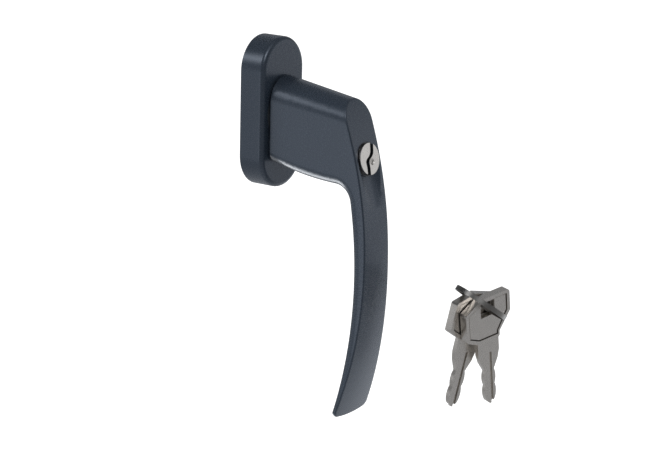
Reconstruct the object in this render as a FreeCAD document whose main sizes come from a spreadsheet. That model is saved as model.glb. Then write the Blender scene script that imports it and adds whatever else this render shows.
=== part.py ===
import FreeCAD, Part
import math
import os
import re

import Sketcher

# A locking window handle: a racetrack rosette on the window frame, a drooping neck with a long
# bowed grip, a push-on lock in the grip's head, and two keys on a ring that stand beside it.
#
# The frame: Z is up, X is right for someone in the room, and Y points into the window. The origin
# is on the spindle's axis at the rosette's back face. A depth is a distance from the window into
# the room, so it lies along -Y.

doc = FreeCAD.newDocument("WindowHandle")
sheet = doc.addObject("Spreadsheet::Sheet", "Sizes")

SIZES = [
    # rosette cover
    ("cover_width", 30.0),
    ("cover_height", 68.0),
    ("cover_depth", 12.5),
    ("cover_edge", 2.2),
    ("cover_wall", 1.6),
    ("cover_face", 2.0),
    ("cover_gap", 0.15),
    # base plate and the seats of its screws
    ("lug_radius", 5.0),
    ("lug_length", 7.0),
    ("screw_spacing", 43.0),
    ("screw_hole", 2.7),
    ("screw_head", 4.6),
    ("screw_head_depth", 2.2),
    ("screw_sink", 7.0),
    ("head_gap", 0.2),
    # bearing between the base plate and the collar
    ("collar_radius", 9.5),
    ("core_radius", 7.5),
    ("core_start", 1.0),
    ("running_gap", 0.05),
    ("bush_wall", 1.4),
    ("bush_start", 6.8),
    ("flange_radius", 11.3),
    ("flange_sink", 0.3),
    ("washer_radius", 11.5),
    ("washer_start", 2.7),
    ("web_start", 3.25),
    ("end_gap", 0.05),
    ("pocket_radius", 12.0),
    ("clip_thickness", 0.9),
    ("clip_radius", 9.2),
    ("groove_radius", 6.6),
    ("clip_mouth", 5.0),
    # detent
    ("notch_depth", 0.6),
    ("ball_radius", 1.5),
    ("ball_depth", 5.0),
    ("ball_bore_end", 15.9),
    ("spring_wall", 0.5),
    # socket for the window's square spindle
    ("spindle_width", 7.0),
    ("spindle_seat", 30.0),
    ("socket_gap", 0.05),
    ("leaf_thickness", 0.8),
    ("leaf_width", 5.0),
    ("leaf_length", 16.0),
    ("leaf_setback", 2.0),
    # neck and grip
    ("neck_start", 13.6),
    ("section_root", 13.0),
    ("section_front", 67.0),
    ("root_half", 11.0),
    ("front_half", 9.15),
    ("root_arch", 6.2),
    ("front_arch", -0.5),
    ("flare_start", -40.0),
    ("flare_bend", 1200.0),
    ("stock_end", -150.0),
    ("end_height", -132.4),
    ("end_half", 13.1),
    ("end_corner", 4.4),
    ("end_bow", 60.0),
    ("face_apex", 65.59),
    ("face_apex_height", -64.3),
    ("face_bend", 196.3),
    ("back_apex", 57.8),
    ("back_apex_height", -71.8),
    ("back_bend", 230.4),
    ("floor_root", -21.1),
    ("floor_front", -26.4),
    ("floor_bend", 134.0),
    ("crook_round", 8.0),
    ("back_round", 5.0),
    ("ridge_round", 0.7),
    ("tip_round", 1.5),
    ("tip_reach", 8.0),
    # lock
    ("lock_depth", 59.3),
    ("lock_height", -14.3),
    ("lock_tilt", 11.0),
    ("lock_bore", 7.6),
    ("lock_bore_depth", 9.0),
    ("sleeve_radius", 5.2),
    ("sleeve_end", 12.0),
    ("sleeve_rim", 1.0),
    ("fit_gap", 0.04),
    ("plug_face", 7.0),
    ("plug_proud", 0.8),
    ("plug_face_back", 2.5),
    ("plug_radius", 4.3),
    ("keyway_width", 1.6),
    ("keyway_depth", 2.4),
    ("keyway_core", 3.4),
    ("keyway_end", 9.4),
    ("dimple_radius", 1.3),
    ("keyway_bend", 4.0),
    ("keyway_top_x", 2.9),
    ("keyway_high_x", 2.1),
    ("keyway_high", 3.0),
    ("keyway_low_x", -1.5),
    ("keyway_low", 2.4),
    ("dimple_x", 1.4),
    ("wafer_count", 4),
    ("wafer_start", 3.6),
    ("wafer_pitch", 1.5),
    ("wafer_thickness", 0.9),
    ("wafer_width", 6.4),
    ("wafer_window", 4.4),
    ("tail_width", 3.0),
    # cam and bolt
    ("cam_radius", 4.9),
    ("cam_seat", 0.3),
    ("cam_plate", 1.2),
    ("cam_lead", 10.0),
    ("cam_bore", 1.6),
    ("throw", 5.5),
    ("cam_dwell", 25.0),
    ("cam_gap", 0.45),
    ("cam_room", 0.7),
    ("cam_screw_head", 1.35),
    ("cam_screw_shank", 0.8),
    ("bolt_radius", 2.0),
    ("bolt_height", -14.3),
    ("bolt_tip", 13.9),
    ("bolt_shoulder", 28.0),
    ("bolt_body", 2.8),
    ("bolt_nose", 1.2),
    ("bolt_nose_length", 4.5),
    ("bolt_guide_end", 19.0),
    ("bolt_hole_gap", 0.1),
    ("bolt_hole_depth", 2.8),
    # scoop below the lock
    ("scoop_radius", 14.0),
    ("scoop_half", 7.7),
    ("scoop_low", -36.0),
    ("scoop_slope", 18.0),
    ("scoop_length", 19.5),
    # housing screw in the underside
    ("grub_radius", 1.2),
    ("grub_length", 5.0),
    ("grub_depth", 52.6),
    ("grub_socket", 0.75),
    # keys and their ring
    ("bow_half", 12.8),
    ("bow_shift", 3.2),
    ("bow_top", 5.4),
    ("bow_low", -13.5),
    ("bow_cut", 5.4),
    ("bow_bevel", 8.5),
    ("bow_slant", 3.0),
    ("bow_thickness", 4.2),
    ("bow_corner", 1.5),
    ("bow_rim", 1.7),
    ("bow_web", 1.3),
    ("bow_window", 7.2),
    ("blade_shoulder", 6.1),
    ("blade_step", -23.0),
    ("blade_waist", 2.6),
    ("blade_wave", 10.0),
    ("blade_tip", -49.2),
    ("blade_thickness", 2.2),
    ("groove_width", 1.2),
    ("groove_depth", 0.5),
    ("front_key_x", 42.07),
    ("front_key_y", -96.26),
    ("front_key_z", -83.44),
    ("front_lean", -10.88),
    ("front_tip", 5.35),
    ("front_yaw", -17.88),
    ("rear_key_x", 41.7),
    ("rear_key_y", -91.49),
    ("rear_key_z", -82.78),
    ("rear_lean", 10.12),
    ("rear_tip", 5.35),
    ("rear_yaw", -17.88),
    ("ring_radius", 13.0),
    ("ring_wall", 0.8),
    ("ring_width", 2.2),
    ("ring_x", 33.42),
    ("ring_y", -99.14),
    ("ring_z", -79.11),
    ("ring_heading", 60.91),
    ("ring_lean", 35.5),
]

ALIASES = [name for name, size in SIZES]
for row, (name, size) in enumerate(SIZES, start=1):
    sheet.set("A%d" % row, name)
    sheet.set("B%d" % row, str(size))
    sheet.setAlias("B%d" % row, name)
doc.recompute()


def formula(text):
    """A formula in the sheet's own names, as other objects of the document read it."""
    def full(match):
        word = match.group(0)
        return "Sizes." + word if word in ALIASES else word
    return re.sub(r"[a-z_]+", full, str(text))


def size(text):
    """The number that a formula gives with the sheet's present sizes."""
    return float(sheet.evalExpression(str(text)))


def bind(item, **formulas):
    """Ties properties of an object to formulas."""
    for prop, text in formulas.items():
        item.setExpression(prop, formula(text))
    return item


def move(item, x="0", y="0", z="0", axis=None, angle="0"):
    """Places an object by formulas, turned about an axis first."""
    if axis is not None:
        item.Placement = FreeCAD.Placement(FreeCAD.Vector(), FreeCAD.Rotation(FreeCAD.Vector(*axis), 1.0))
        item.setExpression("Placement.Rotation.Angle", formula(angle))
    item.setExpression("Placement.Base.x", formula(x))
    item.setExpression("Placement.Base.y", formula(y))
    item.setExpression("Placement.Base.z", formula(z))
    return item


def bar(name, radius, start, length, x="0", z="0"):
    """A round bar along the spindle's direction, from a depth outwards into the room."""
    item = doc.addObject("Part::Cylinder", name)
    bind(item, Radius=radius, Height=length)
    return move(item, x=x, y="-(%s)" % start, z=z, axis=(1, 0, 0), angle="90")


def cone(name, start_radius, end_radius, start, length, x="0", z="0"):
    """A cone along the spindle's direction, from a depth outwards into the room."""
    item = doc.addObject("Part::Cone", name)
    bind(item, Radius1=start_radius, Radius2=end_radius, Height=length)
    return move(item, x=x, y="-(%s)" % start, z=z, axis=(1, 0, 0), angle="90")


def block(name, width, depth, height, x="0", near="0", z="0"):
    """A block centred on x and z, whose window side is at the depth near."""
    item = doc.addObject("Part::Box", name)
    bind(item, Length=width, Width=depth, Height=height)
    return move(item, x="(%s) - (%s) / 2" % (x, width), y="-(%s) - (%s)" % (near, depth),
                z="(%s) - (%s) / 2" % (z, height))


def rod(name, radius, start, end):
    """A round rod on the lock's own axis, between two distances inwards from the face."""
    item = doc.addObject("Part::Cylinder", name)
    bind(item, Radius=radius, Height="(%s) - (%s)" % (end, start))
    return move(item, z="-(%s)" % end)


def slab(name, width, height, start, end, x="0", y="0"):
    """A block on the lock's own axis, between two distances inwards from the face."""
    item = doc.addObject("Part::Box", name)
    bind(item, Length=width, Width=height, Height="(%s) - (%s)" % (end, start))
    return move(item, x="(%s) - (%s) / 2" % (x, width), y="(%s) - (%s) / 2" % (y, height), z="-(%s)" % end)


def fuse(name, *pieces):
    item = doc.addObject("Part::MultiFuse", name)
    item.Shapes = list(pieces)
    return item


def common(name, *pieces):
    item = doc.addObject("Part::MultiCommon", name)
    item.Shapes = list(pieces)
    return item


def cut(name, base, *tools):
    item = doc.addObject("Part::Cut", name)
    item.Base = base
    item.Tool = tools[0] if len(tools) == 1 else fuse(name + "_tools", *tools)
    return item


def in_lock(item):
    """Puts a piece that was made on the lock's own axis into the tilted lock bore."""
    return move(item, y="-lock_depth", z="lock_height", axis=(1, 0, 0), angle="90 - lock_tilt")


def plane_of(body, role):
    """The origin plane of a body with the given role."""
    for feature in body.Origin.OriginFeatures:
        if feature.Role == role:
            return feature
    raise ValueError("no plane " + role)


def pin_point(sketch, geometry, end, x, y):
    """Fixes one end of a sketch line or arc at a place given by formulas."""
    for kind, text, axis in (("DistanceX", x, -2), ("DistanceY", y, -1)):
        number = size(text)
        if abs(number) < 1e-9:
            sketch.addConstraint(Sketcher.Constraint("PointOnObject", geometry, end, axis))
        else:
            index = sketch.addConstraint(Sketcher.Constraint(kind, geometry, end, number))
            sketch.setExpression("Constraints[%d]" % index, formula(text))


def draw(sketch, points):
    """Draws a closed outline. Each point is x, y and how the outline goes on from there: None for
    a straight run, or a radius for an arc, negative where the arc turns to the right."""
    spots = [FreeCAD.Vector(size(x), size(y), 0) for x, y, bend in points]
    for index, (x, y, bend) in enumerate(points):
        here = spots[index]
        there = spots[(index + 1) % len(spots)]
        if bend is None:
            sketch.addGeometry(Part.LineSegment(here, there))
            continue
        radius = size(bend)
        half = (there - here) * 0.5
        left = FreeCAD.Vector(-half.y, half.x, 0).normalize()
        rise = math.sqrt(max(radius * radius - half.Length ** 2, 0.0))
        side = 1 if radius > 0 else -1
        centre = here + half + left * (rise * side)
        middle = centre - left * (abs(radius) * side)
        sketch.addGeometry(Part.Arc(here, middle, there))
    # An arc that turns to the right is stored from its far end to its near end.
    ends = [(2, 1) if bend is not None and size(bend) < 0 else (1, 2) for x, y, bend in points]
    for index, (x, y, bend) in enumerate(points):
        following = (index + 1) % len(points)
        pin_point(sketch, index, ends[index][0], x, y)
        sketch.addConstraint(Sketcher.Constraint("Coincident", index, ends[index][1],
                                                 following, ends[following][0]))
        if bend is not None:
            number = sketch.addConstraint(Sketcher.Constraint("Radius", index, abs(size(bend))))
            sketch.setExpression("Constraints[%d]" % number, formula("abs(%s)" % bend))
    return sketch


def outline(body, name, role, points, height="0"):
    """A closed sketch on one of a body's origin planes, at a height above it."""
    sketch = body.newObject("Sketcher::SketchObject", name)
    sketch.AttachmentSupport = [(plane_of(body, role), "")]
    sketch.MapMode = "FlatFace"
    sketch.setExpression("AttachmentOffset.Base.z", formula(height))
    return draw(sketch, points)


def pad(body, name, sketch, length, middle=False):
    feature = body.newObject("PartDesign::Pad", name)
    feature.Profile = sketch
    feature.Midplane = middle
    bind(feature, Length=length)
    return feature


def pocket(body, name, sketch, length, reverse=False):
    feature = body.newObject("PartDesign::Pocket", name)
    feature.Profile = sketch
    feature.Reversed = reverse
    bind(feature, Length=length)
    return feature


def racetrack(width, height):
    """The outline of an upright racetrack, as quarter arcs and straight sides."""
    half = "(%s) / 2" % width
    low = "(%s) / 2 - (%s) / 2" % (width, height)
    high = "(%s) / 2 - (%s) / 2" % (height, width)
    return [
        (half, low, None),
        (half, high, half),
        ("0", "(%s) / 2" % height, half),
        ("-(%s)" % half, high, None),
        ("-(%s)" % half, low, half),
        ("0", "-(%s) / 2" % height, half),
    ]


def edges_where(shape, wanted):
    """The numbers of a shape's edges that a test accepts, counted as fillets count them."""
    return [number for number, edge in enumerate(shape.Edges, start=1) if wanted(edge)]


def round_edges(name, base, radius, wanted):
    """Rounds the edges of an object that a test accepts."""
    doc.recompute()
    item = doc.addObject("Part::Fillet", name)
    item.Base = base
    item.Edges = [(number, size(radius), size(radius)) for number in edges_where(base.Shape, wanted)]
    return item


NODES = []


def node(item, label):
    """Names a finished piece."""
    item.Label = label
    NODES.append(item)
    return item


def rosette_cover():
    """The cap: a racetrack shell with a rounded front edge and holes for collar and bolt."""
    body = doc.addObject("PartDesign::Body", "Cover")
    shape = outline(body, "CoverOutline", "XZ_Plane", racetrack("cover_width", "cover_height"))
    block_out = pad(body, "CoverPad", shape, "cover_depth")
    doc.recompute()
    near = 0.01 - size("cover_depth")
    front = ["Edge%d" % number
             for number in edges_where(block_out.Shape, lambda edge: edge.BoundBox.YMax < near)]
    rounding = body.newObject("PartDesign::Fillet", "CoverRounding")
    rounding.Base = (block_out, front)
    bind(rounding, Radius="cover_edge")
    inside = outline(body, "CoverInside", "XZ_Plane",
                     racetrack("cover_width - 2 * cover_wall", "cover_height - 2 * cover_wall"))
    pocket(body, "CoverPocket", inside, "cover_depth - cover_face", reverse=True)
    hole = bar("CoverHole", "flange_radius + cover_gap", "0", "cover_depth + 1")
    slots = [
        bar("CoverBoltHole%d" % index, "bolt_radius + bolt_hole_gap", "0", "cover_depth + 1", z=place)
        for index, place in enumerate(("bolt_height", "-bolt_height"))
    ]
    return node(cut("CoverCut", body, hole, *slots), "rosette_cover")


def base_plate():
    """The plate under the cap, with the bearing bore, screw seats, ball bores and two lugs."""
    depth = "cover_depth - cover_face - cover_gap"
    body = doc.addObject("PartDesign::Body", "Plate")
    shape = outline(body, "PlateOutline", "XZ_Plane",
                    racetrack("cover_width - 2 * (cover_wall + cover_gap)",
                              "cover_height - 2 * (cover_wall + cover_gap)"))
    pad(body, "PlatePad", shape, depth)
    places = ("screw_spacing / 2", "-screw_spacing / 2")
    lugs = [bar("Lug%d" % index, "lug_radius", "-lug_length", "lug_length + 1", z=place)
            for index, place in enumerate(places)]
    solid = fuse("PlateWithLugs", body, *lugs)
    tools = [
        bar("PlatePocket", "pocket_radius", "-1", "web_start + 1"),
        bar("PlateBore", "collar_radius + running_gap", "0", "cover_depth"),
        bar("BushSeat", "collar_radius + bush_wall", "bush_start", "cover_depth"),
    ]
    for index, place in enumerate(places):
        tools.append(bar("ScrewHole%d" % index, "screw_hole", "-lug_length - 1",
                         "cover_depth + lug_length", z=place))
        tools.append(cone("ScrewSeat%d" % index, "screw_hole", "screw_head + head_gap",
                          "screw_sink - screw_head_depth", "screw_head_depth", z=place))
        tools.append(bar("ScrewWell%d" % index, "screw_head + head_gap", "screw_sink",
                         "cover_depth", z=place))
    for index, place in enumerate(("bolt_height", "-bolt_height")):
        tools.append(bar("BoltHole%d" % index, "bolt_radius + bolt_hole_gap",
                         depth + " - bolt_hole_depth", "cover_depth", z=place))
    bore = doc.addObject("Part::Cylinder", "BallBore")
    bind(bore, Radius="ball_radius + running_gap", Height="2 * ball_bore_end")
    tools.append(move(bore, y="-ball_depth", z="-ball_bore_end"))
    return node(cut("PlateCut", solid, *tools), "base_plate")


def bearing_bush():
    """The plastic bush in the plate, whose flange fills the hole in the cap."""
    sleeve = bar("BushSleeve", "collar_radius + bush_wall - fit_gap", "bush_start",
                 "cover_depth - flange_sink - bush_start")
    flange = bar("BushFlange", "flange_radius", "cover_depth - cover_face + end_gap",
                 "cover_face - flange_sink - end_gap")
    bore = bar("BushBore", "collar_radius + running_gap", "0", "cover_depth + 1")
    return node(cut("Bush", fuse("BushBlank", sleeve, flange), bore), "bearing_bush")


def thrust_washer():
    """The washer that lies against the plate's web, behind the detent ring."""
    disc = bar("WasherDisc", "washer_radius", "washer_start", "web_start - washer_start - end_gap / 5")
    bore = bar("WasherBore", "core_radius + running_gap", "0", "web_start")
    return node(cut("Washer", disc, bore), "thrust_washer")


def retaining_ring():
    """The open ring in the collar's groove that keeps the handle on the plate."""
    start = "washer_start - end_gap - clip_thickness"
    disc = bar("ClipDisc", "clip_radius", start, "clip_thickness")
    bore = bar("ClipBore", "groove_radius + fit_gap", "0", "web_start")
    mouth = block("ClipMouth", "clip_mouth", "web_start", "2 * clip_radius", near="0", z="-clip_radius")
    return node(cut("Clip", disc, bore, mouth), "retaining_ring")


def detent_ring():
    """The ring pressed on the collar's core, with a notch for each quarter turn."""
    disc = bar("DetentDisc", "collar_radius", "web_start + end_gap", "bush_start - web_start - 2 * end_gap")
    tools = [bar("DetentBore", "core_radius + fit_gap / 2", "0", "cover_depth")]
    reach = "collar_radius + ball_radius - notch_depth"
    places = ((reach, "0"), ("-(%s)" % reach, "0"), ("0", reach), ("0", "-(%s)" % reach))
    for index, (x, z) in enumerate(places):
        ball = doc.addObject("Part::Sphere", "Notch%d" % index)
        bind(ball, Radius="ball_radius + fit_gap")
        tools.append(move(ball, x=x, y="-ball_depth", z=z))
    return node(cut("Detent", disc, *tools), "detent_ring")


def detent_ball(name, label, side):
    """A ball that stands at the crest of the detent ring, over a notch."""
    ball = doc.addObject("Part::Sphere", name)
    bind(ball, Radius="ball_radius")
    move(ball, y="-ball_depth", z="%s * (collar_radius + ball_radius + running_gap)" % side)
    return node(ball, label)


def detent_spring(name, label, side):
    """The small coil behind a ball, as a sleeve of its outer size."""
    start = "collar_radius + 2 * ball_radius + running_gap + end_gap"
    length = "ball_bore_end - end_gap - (%s)" % start
    outer = doc.addObject("Part::Cylinder", name + "Outer")
    bind(outer, Radius="ball_radius - running_gap", Height=length)
    inner = doc.addObject("Part::Cylinder", name + "Inner")
    bind(inner, Radius="ball_radius - running_gap - spring_wall", Height=length)
    tube = cut(name, outer, inner)
    move(tube, y="-ball_depth", z=start if side > 0 else "end_gap - ball_bore_end")
    return node(tube, label)


def spindle_spring():
    """The leaf that presses on the spindle in its socket."""
    leaf = block("Leaf", "leaf_width", "leaf_length", "leaf_thickness",
                 near="spindle_seat - leaf_length - leaf_setback",
                 z="(spindle_width + socket_gap + leaf_thickness) / 2")
    return node(leaf, "spindle_spring")


def handle_section(body, name, depth, half, arch):
    """The handle's outline seen from the room, at one depth: an arched top and straight sides
    that flare towards the end."""
    wide = "(%s) + flare_bend - sqrt(flare_bend^2 - (flare_start - stock_end)^2)" % half
    return outline(body, name, "XZ_Plane", [
        (half, arch, half),
        ("0", "(%s) + (%s)" % (arch, half), half),
        ("-(%s)" % half, arch, None),
        ("-(%s)" % half, "flare_start", "-flare_bend"),
        ("-(%s)" % wide, "stock_end", None),
        (wide, "stock_end", "-flare_bend"),
        (half, "flare_start", None),
    ], height=depth)


FACE = ("face_apex", "face_apex_height", "face_bend")
BACK = ("back_apex", "back_apex_height", "back_bend")
# What tells the handle's edges apart, in millimetres: how near counts as level, how near
# counts as on the face, the shortest edge to round, and how far out the side edges start.
LEVEL = 0.5
ON_FACE = 0.15
SHORTEST = 3.0
SIDE_START = 5.0


def arc_depth(apex, apex_height, bend, height):
    """The depth of an upright arc at a height, where the arc stands furthest out at its apex."""
    return "(%s) - (%s) + sqrt((%s)^2 - ((%s) - (%s))^2)" % (apex, bend, bend, height, apex_height)


def grip_end():
    """What is kept of the grip: everything above a slightly bowed end with round corners, square
    to the grip's front there."""
    body = doc.addObject("PartDesign::Body", "GripEnd")
    inner = "end_half - end_corner"
    rise = "end_bow - sqrt(end_bow^2 - (%s)^2)" % inner
    shape = outline(body, "EndOutline", "XZ_Plane", [
        ("-(%s)" % inner, rise, "end_bow"),
        (inner, rise, "end_corner"),
        ("end_half", "(%s) + end_corner" % rise, None),
        ("3 * end_half", "-2 * stock_end", None),
        ("-3 * end_half", "-2 * stock_end", None),
        ("-end_half", "(%s) + end_corner" % rise, "end_corner"),
    ])
    pad(body, "EndPad", shape, "4 * face_apex", middle=True)
    return move(body, y="-(%s)" % arc_depth(*FACE, "end_height"), z="end_height",
                axis=(1, 0, 0), angle="asin((face_apex_height - end_height) / face_bend)")


def handle_blank():
    """Neck and grip: the outline from the room, lofted, within the bowed profile from the side."""
    front = doc.addObject("PartDesign::Body", "HandleOutline")
    root = handle_section(front, "RootSection", "section_root", "root_half", "root_arch")
    tip = handle_section(front, "FrontSection", "section_front", "front_half", "front_arch")
    loft = front.newObject("PartDesign::AdditiveLoft", "OutlineLoft")
    loft.Profile = root
    loft.Sections = [tip]
    loft.Ruled = True
    side = doc.addObject("PartDesign::Body", "HandleProfile")
    top = "root_arch + root_half + 5"
    profile = outline(side, "SideProfile", "YZ_Plane", [
        ("-neck_start", top, None),
        ("-(%s)" % arc_depth(*FACE, top), top, "face_bend"),
        ("-(%s)" % arc_depth(*FACE, "stock_end"), "stock_end", None),
        ("-(%s)" % arc_depth(*BACK, "stock_end"), "stock_end", "-back_bend"),
        ("-(%s)" % arc_depth(*BACK, "floor_front"), "floor_front", "floor_bend"),
        ("-neck_start", "floor_root", None),
    ])
    pad(side, "ProfilePad", profile, "4 * root_half", middle=True)
    blank = common("HandleForm", front, side)
    doc.recompute()

    def in_crook(edge):
        box = edge.BoundBox
        at_floor = abs(box.ZMin - size("floor_front")) < LEVEL
        return box.XLength > size("front_half") and at_floor and box.ZLength < LEVEL

    crook = round_edges("Crook", blank, "crook_round", in_crook)
    doc.recompute()

    def at_back(edge):
        box = edge.BoundBox
        middle = edge.valueAt((edge.FirstParameter + edge.LastParameter) / 2)
        face_there = size(arc_depth(*FACE, str(middle.z)))
        upright = box.ZLength > LEVEL and box.YLength + box.ZLength > SHORTEST
        below = middle.z < size("floor_root") and box.ZMin < size("floor_root") - 1
        at_side = abs(middle.x) > SIDE_START and -middle.y < face_there - SHORTEST
        return upright and below and box.ZMax < 0 and at_side

    belly = round_edges("Belly", crook, "back_round", at_back)
    return common("HandleBlank", belly, grip_end())


def tilted_bore_floor(depth):
    """The height of the lowest line of the lock's wide bore at a depth."""
    return "lock_height - tan(lock_tilt) * (lock_depth - (%s)) - lock_bore / cos(lock_tilt)" % depth


CAM_FOOT = "(sleeve_end + cam_seat)"
CAM_FLOOR = "(sleeve_end + cam_seat + cam_plate)"
CAM_LIFT = "(throw * cos(lock_tilt))"
NOSE_DEPTH = ("(lock_depth - (sleeve_end + cam_seat + cam_plate + cam_gap"
              " - (lock_height - bolt_height) * sin(lock_tilt)) / cos(lock_tilt))")
CLIP_START = "(washer_start - end_gap - clip_thickness)"


def scoop():
    """The shallow trough below the lock: a wide round cutter, narrowed to the lock's width, whose
    floor comes up to the grip's face at its lower end."""
    cutter = doc.addObject("Part::Cylinder", "ScoopRound")
    bind(cutter, Radius="scoop_radius", Height="scoop_length + scoop_radius")
    move(cutter, y="-scoop_radius", z="-scoop_radius")
    strip = doc.addObject("Part::Box", "ScoopStrip")
    bind(strip, Length="2 * scoop_half", Width="2 * scoop_radius", Height="scoop_length + scoop_radius")
    move(strip, x="-scoop_half", y="-2 * scoop_radius", z="-scoop_radius")
    trough = common("Scoop", cutter, strip)
    return move(trough, y="-(%s)" % arc_depth(*FACE, "scoop_low"), z="scoop_low",
                axis=(1, 0, 0), angle="-scoop_slope")


def handle():
    """The casting: neck and grip, with the collar behind and all its bores."""
    blank = handle_blank()
    doc.recompute()

    def on_face(edge):
        middle = (edge.FirstParameter + edge.LastParameter) / 2
        for part in (edge.FirstParameter, middle, edge.LastParameter):
            point = edge.valueAt(part)
            face_there = size(arc_depth(*FACE, str(point.z)))
            if abs(-point.y - face_there) > ON_FACE:
                return False
        return True

    def at_tip(edge):
        middle = edge.valueAt((edge.FirstParameter + edge.LastParameter) / 2)
        low = edge.BoundBox.ZMax < size("end_height") + size("tip_reach")
        face_there = size(arc_depth(*FACE, str(middle.z)))
        back_there = size(arc_depth(*BACK, str(middle.z)))
        return low and -middle.y < (face_there + back_there) / 2

    tip = round_edges("Tip", blank, "tip_round", at_tip)
    ridge = round_edges("Ridge", tip, "ridge_round", on_face)
    collar = bar("Collar", "collar_radius", "bush_start", "neck_start - bush_start + 3")
    core = bar("Core", "core_radius", "core_start", "bush_start - core_start + 1")
    solid = fuse("HandleSolid", ridge, collar, core)
    groove_start = CLIP_START + " - end_gap"
    groove_outer = bar("GrooveOuter", "core_radius + 1", groove_start, "clip_thickness + 2 * end_gap")
    groove_inner = bar("GrooveInner", "groove_radius", groove_start, "clip_thickness + 2 * end_gap")
    groove = cut("Groove", groove_outer, groove_inner)
    socket = block("Socket", "spindle_width + 2 * socket_gap", "spindle_seat + 1 + end_gap",
                   "spindle_width + 2 * socket_gap", near="-1")
    leaf_slot = block("LeafSlot", "leaf_width + 2 * socket_gap", "spindle_seat - 1",
                      "leaf_thickness + 2 * socket_gap",
                      z="spindle_width / 2 + leaf_thickness / 2 + socket_gap")
    wide = rod("LockBore", "lock_bore", "-2 * lock_bore", "lock_bore_depth + end_gap")
    narrow = rod("SleeveBore", "sleeve_radius + fit_gap", "0",
                 CAM_FLOOR + " + " + CAM_LIFT + " + cam_room")
    lock_bore = in_lock(fuse("LockBores", wide, narrow))
    guide = bar("BoltGuide", "bolt_radius + running_gap", "neck_start - 2",
                "bolt_guide_end - neck_start + 3", z="bolt_height")
    room = bar("BoltRoom", "bolt_body + 2 * running_gap", "bolt_guide_end",
               NOSE_DEPTH + " - bolt_guide_end", z="bolt_height")
    grub = doc.addObject("Part::Cylinder", "GrubHole")
    bind(grub, Radius="grub_radius + fit_gap", Height="4 * grub_length")
    move(grub, y="-grub_depth", z=tilted_bore_floor("grub_depth") + " - 4 * grub_length + 1")
    hollows = (groove, socket, leaf_slot, lock_bore, guide, room, grub, scoop())
    return node(cut("Handle", solid, *hollows), "handle")


def lock_housing():
    """The stepped sleeve in the handle's bore that the plug turns in."""
    wide = rod("SleeveFront", "lock_bore - fit_gap", "sleeve_rim", "lock_bore_depth")
    narrow = rod("SleeveRear", "sleeve_radius", "lock_bore_depth - 0.5", "sleeve_end")
    seat = rod("PlugSeat", "plug_face + running_gap", "0", "plug_face_back + end_gap")
    bore = rod("PlugBore", "plug_radius + running_gap", "0", "sleeve_end + 1")
    return node(in_lock(cut("Housing", fuse("HousingBlank", wide, narrow), seat, bore)), "lock_housing")


def keyway_bar():
    """A bar with the keyway's section: straight at both ends, with an S-bend in the middle."""
    body = doc.addObject("PartDesign::Body", "KeywayBar")
    path = (("keyway_top_x", "plug_face + 1"), ("keyway_high_x", "keyway_high"), ("0.1", "0.3"),
            ("keyway_low_x", "-keyway_low"), ("keyway_low_x - 0.3", "-plug_face - 1"))
    left = [("(%s) - keyway_width / 2" % x, "(%s) + keyway_width / 5" % y) for x, y in path]
    right = [("(%s) + keyway_width / 2" % x, "(%s) - keyway_width / 5" % y) for x, y in path]
    bends = (None, "-keyway_bend", "keyway_bend", None)
    points = [(x, y, bend) for (x, y), bend in zip(left, bends + (None,))]
    returning = (None, "-keyway_bend", "keyway_bend", None, None)
    points += [(x, y, bend) for (x, y), bend in zip(reversed(right), returning)]
    shape = outline(body, "KeywayOutline", "XY_Plane", points)
    pad(body, "KeywayPad", shape, "keyway_end + plug_proud + 1")
    return move(body, z="-keyway_end")


def wafer_places():
    """Where each wafer starts, inwards from the lock's face."""
    return ["wafer_start + %d * wafer_pitch" % index for index in range(int(size("wafer_count")))]


def lock_plug():
    """The silver face with its S-shaped keyway, the barrel with wafer slots, and a square tail."""
    face = rod("PlugFace", "plug_face", "-plug_proud", "plug_face_back")
    barrel = rod("PlugBarrel", "plug_radius", "plug_face_back - 0.5", CAM_FOOT + " - end_gap")
    tail = slab("PlugTail", "tail_width", "tail_width", CAM_FOOT + " - 0.5",
                CAM_FOOT + " + cam_plate / 2 - end_gap")
    solid = fuse("PlugBlank", face, barrel, tail)
    keyway = keyway_bar()
    start = "-plug_proud - 0.5"
    face_reach = rod("FaceSlotReach", "plug_face + 1", start, "keyway_depth - plug_proud")
    face_slot = common("FaceSlot", keyway, face_reach)
    core_slot = common("CoreSlot", keyway, rod("CoreSlotReach", "keyway_core", start, "keyway_end"))
    slots = [
        slab("WaferSlot%d" % index, "wafer_width + 2 * fit_gap", "4 * plug_radius",
             place + " - fit_gap", place + " + wafer_thickness + fit_gap")
        for index, place in enumerate(wafer_places())
    ]
    screw_hole = rod("CamScrewHole", "cam_screw_shank + fit_gap / 2", "keyway_end + 0.3", CAM_FLOOR)
    dimple = doc.addObject("Part::Sphere", "PlugDimple")
    bind(dimple, Radius="dimple_radius")
    move(dimple, x="dimple_x", y="-dimple_x", z="plug_proud + dimple_radius / 2")
    plug = cut("Plug", solid, face_slot, core_slot, screw_hole, dimple, *slots)
    return node(in_lock(plug), "lock_plug")


def lock_wafers():
    """The thin plates in the barrel that the key lifts level."""
    wafers = []
    for index, place in enumerate(wafer_places()):
        end = place + " + wafer_thickness"
        disc = rod("WaferRound%d" % index, "plug_radius - fit_gap", place, end)
        strip = slab("WaferStrip%d" % index, "wafer_width", "3 * plug_radius", place, end)
        window = slab("WaferWindow%d" % index, "wafer_window", "wafer_window + 1", place, end)
        wafers.append(cut("Wafer%d" % index, common("WaferBlank%d" % index, disc, strip), window))
    return node(in_lock(fuse("Wafers", *wafers)), "lock_wafers")


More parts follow.
